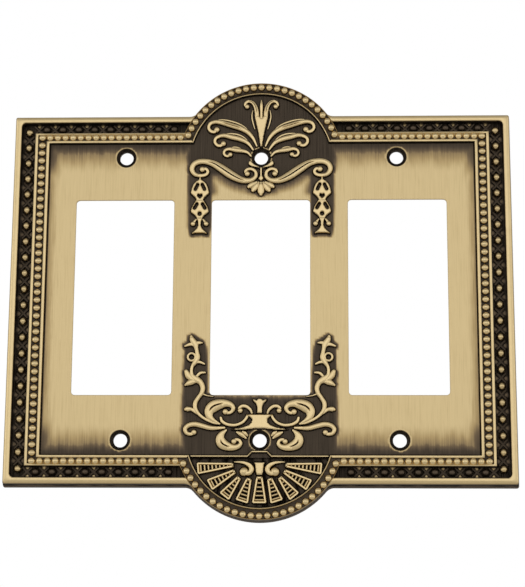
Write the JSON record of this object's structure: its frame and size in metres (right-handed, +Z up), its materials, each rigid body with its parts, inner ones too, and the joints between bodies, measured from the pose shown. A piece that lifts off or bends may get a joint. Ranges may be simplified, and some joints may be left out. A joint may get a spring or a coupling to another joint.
{
  "type": "wall plate cover",
  "caption": "Decorative antique brass wall plate with rocker openings, a beaded picture-frame border, arched crest and fan, and carved relief ornament.",
  "frame": {"origin": "centre of the six-hole screw pattern, on the plane of the back face that rests on the wall", "axes": "+X along the width, +Z up, the front faces -Y and the wall is the plane y = 0"},
  "size_m": [0.17, 0.0063, 0.1502],
  "materials": {
    "brushed_field": "satin antique brass with fine vertical brushing, darkened towards the frame and around the ornament",
    "polished_rim": "satin antique brass, polished through the patina",
    "frame_moulding": "antique brass with bright fillets and dark hollows",
    "groove_balls": "antique brass, tops polished",
    "dark_straps": "brass left in its dark patina",
    "frame_pearls": "antique brass, tops polished bright",
    "fan_relief": "antique brass with bright edges and dark slots",
    "carved_relief": "antique brass relief, high parts polished bright"
  },
  "bodies": {
    "root": {"plate_body": "brushed_field", "outer_rim_left": "polished_rim", "outer_rim_right": "polished_rim", "pearl_frame_left": "frame_moulding", "pearl_frame_right": "frame_moulding", "crest_arch_frame": "frame_moulding", "base_arch_frame": "frame_moulding", "border_balls_left": "groove_balls", "border_balls_right": "groove_balls", "border_balls_top": "groove_balls", "border_balls_bottom": "groove_balls", "border_crosses_left": "dark_straps", "border_crosses_right": "dark_straps", "border_crosses_top": "dark_straps", "border_crosses_bottom": "dark_straps", "frame_pearls_left": "frame_pearls", "frame_pearls_right": "frame_pearls", "frame_pearls_top": "frame_pearls", "frame_pearls_bottom": "frame_pearls", "crest_arch_pearls": "frame_pearls", "base_arch_pearls": "frame_pearls", "crest_centre_leaf": "carved_relief", "crest_top_scrolls": "carved_relief", "crest_upper_leaves": "carved_relief", "crest_middle_leaves": "carved_relief", "crest_lower_leaves": "carved_relief", "crest_calyx": "carved_relief", "crest_stem": "carved_relief", "crest_shell": "carved_relief", "crest_scroll_left": "carved_relief", "crest_scroll_right": "carved_relief", "husk_drop_left": "carved_relief", "husk_drop_right": "carved_relief", "vine_left": "carved_relief", "vine_right": "carved_relief", "base_scroll_left": "carved_relief", "base_scroll_right": "carved_relief", "upper_acanthus_left": "carved_relief", "upper_acanthus_right": "carved_relief", "lower_acanthus_left": "carved_relief", "lower_acanthus_right": "carved_relief", "vase": "carved_relief", "vase_flower": "carved_relief", "vase_handles": "carved_relief", "vase_scrolls": "carved_relief", "bowl_petals": "carved_relief", "fan_fillet": "frame_moulding", "fan_post": "fan_relief", "fan_scrolls": "fan_relief", "fan_blade_centre": "fan_relief", "fan_blades_1": "fan_relief", "fan_blades_2": "fan_relief", "fan_blades_3": "fan_relief", "fan_blades_4": "fan_relief"}
  },
  "joints": []
}
